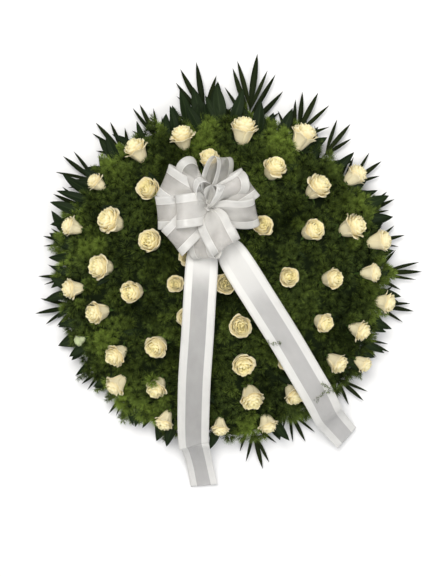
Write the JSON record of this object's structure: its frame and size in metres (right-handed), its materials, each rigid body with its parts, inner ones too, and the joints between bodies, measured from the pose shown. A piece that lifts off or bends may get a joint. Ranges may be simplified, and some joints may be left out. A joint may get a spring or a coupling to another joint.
{
  "type": "funeral wreath",
  "caption": "Round domed funeral wreath of cream roses in feathery greens, ringed with palm fronds, with a white ribbon bow and two tails, lying on its flat back.",
  "frame": {"origin": "centre of the backing's underside", "axes": "+Z out of the face with the flowers, +Y towards the wreath's top as it is shown, +X to the viewer's right"},
  "size_m": [0.868, 0.9794, 0.228],
  "materials": {
    "petal": "soft matte petals",
    "bud": "matte pale green",
    "fern": "matte feathery green",
    "leaf": "dark satin leaf",
    "ribbon": "white satin edges and a sheer middle",
    "foam": "fine-celled floral foam",
    "backing": "matte off-white",
    "pick": "dyed green"
  },
  "bodies": {
    "root": {"backing": "backing", "bow_pick": "pick", "fern_bottom": "fern", "fern_left": "fern", "fern_right": "fern", "fern_top": "fern", "foam": "foam", "ribbon_bow": "ribbon", "ribbon_tail_left": "ribbon", "ribbon_tail_right": "ribbon", "rim_leaves_bottom": "leaf", "rim_leaves_left": "leaf", "rim_leaves_right": "leaf", "rim_leaves_top": "leaf", "rose_01": "petal", "rose_02": "petal", "rose_03": "petal", "rose_04": "petal", "rose_05": "petal", "rose_06": "petal", "rose_07": "petal", "rose_08": "petal", "rose_09": "petal", "rose_10": "petal", "rose_11": "petal", "rose_12": "petal", "rose_13": "petal", "rose_14": "petal", "rose_15": "petal", "rose_16": "petal", "rose_17": "petal", "rose_18": "petal", "rose_19": "petal", "rose_20": "petal", "rose_21": "petal", "rose_22": "petal", "rose_23": "petal", "rose_24": "petal", "rose_25": "petal", "rose_26": "petal", "rose_27": "petal", "rose_28": "petal", "rose_29": "petal", "rose_30": "petal", "rose_31": "petal", "rose_32": "petal", "rose_33": "petal", "rose_34": "petal", "rose_35": "petal", "rose_36": "petal", "rose_37": "petal", "rose_38": "petal", "rose_39": "petal", "rose_40": "petal", "rose_41": "petal", "rose_42": "petal", "rose_43": "petal", "rose_44": "petal", "rose_45": "petal", "rosebud": "bud"}
  },
  "joints": []
}
